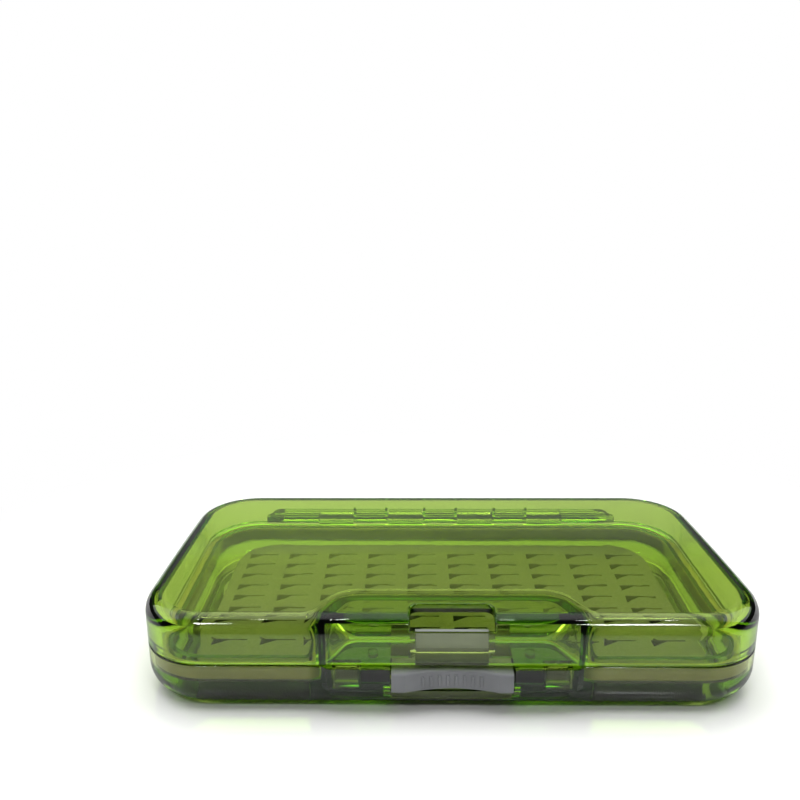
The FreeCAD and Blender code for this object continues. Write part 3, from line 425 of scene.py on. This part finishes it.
def makeGripRibs():
    grip = {"count": 8, "spread": 13.4, "width": 0.7, "height": 2.6, "proud": 0.35, "edgeRound": 0.22,
            "roundSteps": 3, "scoopRadius": 34.84, "scoopMiddle": -73.74, "middleZ": 8.9, "pathSteps": 32,
            "smoothAngle": 50}
    bar = bmesh.new()
    bmesh.ops.create_cube(bar, size=1.0)
    for corner in bar.verts:
        corner.co = Vector((corner.co.x * mm(grip["width"]), corner.co.y * mm(2 * grip["proud"]),
                            corner.co.z * mm(grip["height"])))
    bmesh.ops.bevel(bar, geom=bar.edges[:], offset=mm(grip["edgeRound"]), segments=grip["roundSteps"],
                    affect="EDGES", profile=0.5)
    barMesh = bpy.data.meshes.new("gripBar")
    bar.to_mesh(barMesh)
    bar.free()
    barPiece = newPiece("gripBar", barMesh)
    # the ribs follow the scooped face of the button
    line = []
    for step in range(grip["pathSteps"] + 1):
        x = grip["spread"] * (step / grip["pathSteps"] - 0.5)
        y = grip["scoopMiddle"] + math.sqrt(grip["scoopRadius"] ** 2 - x ** 2)
        line.append((mm(x), mm(y), mm(grip["middleZ"])))
    edges = [(i, i + 1) for i in range(grip["pathSteps"])]
    piece = newPiece("gripRibs", meshFrom("gripRibs", line, edges=edges))
    tree, given, output = newTree("ribRow", {"Bar": "Object", "Count": "Int"})
    path = addNode(tree, "GeometryNodeMeshToCurve", {"Mesh": given["Geometry"]})
    spots = addNode(tree, "GeometryNodeCurveToPoints", {
        "Curve": path.outputs["Curve"], "Count": given["Count"]})
    shape = addNode(tree, "GeometryNodeObjectInfo", {"Object": given["Bar"]})
    ribs = addNode(tree, "GeometryNodeInstanceOnPoints", {
        "Points": spots.outputs["Points"], "Instance": shape.outputs["Geometry"]})
    endTree(tree, ribs.outputs["Instances"], output, latchPlastic)
    runTree(piece, tree, {"Bar": barPiece, "Count": grip["count"]}, grip["smoothAngle"])
    bpy.data.objects.remove(barPiece)
    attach(piece, "latch")


for node, material in {"base_shell": clearGreen, "lid_shell": clearGreen, "latch_button": latchPlastic,
                       "hinge_pin": wireSteel, "foam_adhesive": glueFilm}.items():
    nodes[node].data.materials.clear()
    nodes[node].data.materials.append(material)
makeFoam()
makeSeal()
makeSpring("springLeft", "latch_spring_left")
makeSpring("springRight", "latch_spring_right")
makeGripRibs()
print("pieces made")


def makeFloor():
    # glossy white sheet with the case's shadow on it, which clears to pure white further out
    looks = {"size": 6.0, "colour": "#F4F4F4", "mirrored": "#C0C0C0", "roughness": 0.1, "ior": 1.75,
             "clearFrom": 0.085, "clearTo": 0.19, "behindFrom": -0.1, "behindTo": 0.1}
    half = looks["size"] / 2
    corners = [(-half, -half, 0), (half, -half, 0), (half, half, 0), (-half, half, 0)]
    floor = newPiece("floor", meshFrom("floor", corners, faces=[(0, 1, 2, 3)]))
    material, tree, place, output = newMaterial("whiteAcrylicSheet")
    path = addNode(tree, "ShaderNodeLightPath").outputs
    # the case mirrors a dimmer floor than the camera sees, which keeps its front dark and clear
    tone = addNode(tree, "ShaderNodeMixRGB", {
        "Fac": path["Is Glossy Ray"], "Color1": linear(looks["colour"]), "Color2": linear(looks["mirrored"])})
    sheet = addNode(tree, "ShaderNodeBsdfPrincipled", {
        "Base Color": tone.outputs["Color"], "Roughness": looks["roughness"], "IOR": looks["ior"]})
    glow = addNode(tree, "ShaderNodeEmission", {"Color": white, "Strength": 1.0})
    away = addNode(tree, "ShaderNodeVectorMath", {0: place}, operation="LENGTH").outputs["Value"]
    far = addRange(tree, away, looks["clearFrom"], looks["clearTo"], kind="SMOOTHSTEP")
    depth = addNode(tree, "ShaderNodeSeparateXYZ", {"Vector": place}).outputs["Y"]
    behind = addRange(tree, depth, looks["behindFrom"], looks["behindTo"])
    # through the case and mirrored in it, only the floor behind it is pure white
    seen = combine(tree, "MAXIMUM", path["Is Glossy Ray"], path["Is Transmission Ray"])
    seen = combine(tree, "MULTIPLY", seen, behind)
    seen = combine(tree, "MAXIMUM", seen, path["Is Camera Ray"])
    blend = addNode(tree, "ShaderNodeMixShader", {
        0: combine(tree, "MULTIPLY", far, seen), 1: sheet.outputs["BSDF"], 2: glow.outputs["Emission"]})
    tree.links.new(blend.outputs["Shader"], output.inputs["Surface"])
    floor.data.materials.append(material)


def makeLightTent():
    # white wall behind and white roof, in a dark room, so that the clear edges draw as dark lines
    light = {"room": 0.03, "wall": 0.35, "card": "#D2EE86", "cardLeft": 1.05, "cardRight": 0.55}
    # where each begins and is full, along one axis of the direction that is looked in
    reach = {"wallEnd": (0.65, 0.35), "wallBack": (0.0, 0.4), "roofHeight": (0.6, 0.85),
             "roofFront": (-0.25, 0.1), "cardTop": (0.7, 0.55), "cardFoot": (0.37, 0.45),
             "cardLength": (-0.15, 0.25)}
    world = bpy.data.worlds.new("lightTent")
    world.use_nodes = True
    scene.world = world
    tree = world.node_tree
    tree.nodes.clear()
    path = addNode(tree, "ShaderNodeLightPath").outputs
    way = addNode(tree, "ShaderNodeTexCoord").outputs["Generated"]
    axes = addNode(tree, "ShaderNodeSeparateXYZ", {"Vector": way}).outputs
    aside = addNode(tree, "ShaderNodeMath", {0: axes["X"]}, operation="ABSOLUTE").outputs[0]
    wide = addRange(tree, aside, *reach["wallEnd"], kind="SMOOTHSTEP")
    back = addRange(tree, axes["Y"], *reach["wallBack"], kind="SMOOTHSTEP")
    high = addRange(tree, axes["Z"], *reach["roofHeight"], kind="SMOOTHSTEP")
    over = addRange(tree, axes["Y"], *reach["roofFront"], kind="SMOOTHSTEP")
    behind = combine(tree, "MULTIPLY", wide, back)
    wall = combine(tree, "MULTIPLY", behind, light["wall"])
    roof = combine(tree, "MULTIPLY", high, over)
    # a lime card stands against the wall, brighter at its left end, and is mirrored in the lid
    low = addRange(tree, axes["Z"], *reach["cardTop"])
    raised = addRange(tree, axes["Z"], *reach["cardFoot"])
    card = combine(tree, "MULTIPLY", behind, low, raised, path["Is Glossy Ray"])
    bright = addRange(tree, axes["X"], *reach["cardLength"], light["cardLeft"], light["cardRight"])
    lit = combine(tree, "MULTIPLY", card, bright)
    tone = addNode(tree, "ShaderNodeMixRGB", {"Fac": card, "Color1": white, "Color2": linear(light["card"])})
    strength = combine(tree, "MAXIMUM", wall, roof, lit, light["room"], path["Is Camera Ray"])
    sky = addNode(tree, "ShaderNodeBackground", {"Color": tone.outputs["Color"], "Strength": strength})
    end = addNode(tree, "ShaderNodeOutputWorld", {"Surface": sky.outputs["Background"]})
    end.is_active_output = True


def addSoftbox(name, place, aim, width, height, power):
    lamp = bpy.data.lights.new(name, "AREA")
    lamp.shape = "RECTANGLE"
    lamp.size, lamp.size_y, lamp.energy = width, height, power
    holder = bpy.data.objects.new(name, lamp)
    holder.location = place
    holder.rotation_euler = (Vector(aim) - Vector(place)).to_track_quat("-Z", "Y").to_euler()
    scene.collection.objects.link(holder)
    return holder


def addLamps():
    case = (0.0, 0.0, 0.01)
    top = addSoftbox("topSoftbox", (0.0, 0.12, 0.8), (0.0, 0.0, 0.0), 1.2, 0.9, 10.0)
    top.visible_glossy = False
    addSoftbox("frontKeyLeft", (-0.3, -0.45, 0.65), case, 0.12, 0.1, 0.8)
    addSoftbox("frontKeyRight", (0.26, -0.45, 0.65), case, 0.12, 0.1, 0.8)
    addSoftbox("leftSoftbox", (-0.85, 0.1, 0.6), case, 0.7, 0.7, 2.0)
    addSoftbox("rightSoftbox", (0.85, 0.1, 0.6), case, 0.7, 0.7, 2.0)


def addGlints():
    # a row of small lamps that only show as sparks on the glossy edges
    row = {"count": 7, "pitch": 0.07, "depth": -0.1, "height": 0.5, "size": 0.014, "power": 0.02}
    for index in range(row["count"]):
        x = row["pitch"] * (index - (row["count"] - 1) / 2)
        lamp = addSoftbox(f"sparkLamp{index}", (x, row["depth"], row["height"]), (0.0, 0.0, 0.02),
                          row["size"], row["size"], row["power"])
        lamp.visible_diffuse = lamp.visible_transmission = False


def makeCamera():
    view = {"lens": 33.17, "place": (-0.00921, -0.18769, 0.11335), "turn": (75.73, 0.33, 0.85),
            "sensor": 36.0, "nearest": 0.01}
    lens = bpy.data.cameras.new("camera")
    lens.lens, lens.sensor_width = view["lens"], view["sensor"]
    lens.clip_start = view["nearest"]
    camera = bpy.data.objects.new("camera", lens)
    camera.location = view["place"]
    camera.rotation_euler = [math.radians(angle) for angle in view["turn"]]
    scene.collection.objects.link(camera)
    scene.camera = camera


makeFloor()
makeLightTent()
addLamps()
addGlints()
makeCamera()
scene.view_settings.view_transform = "Standard"
print("stage made")
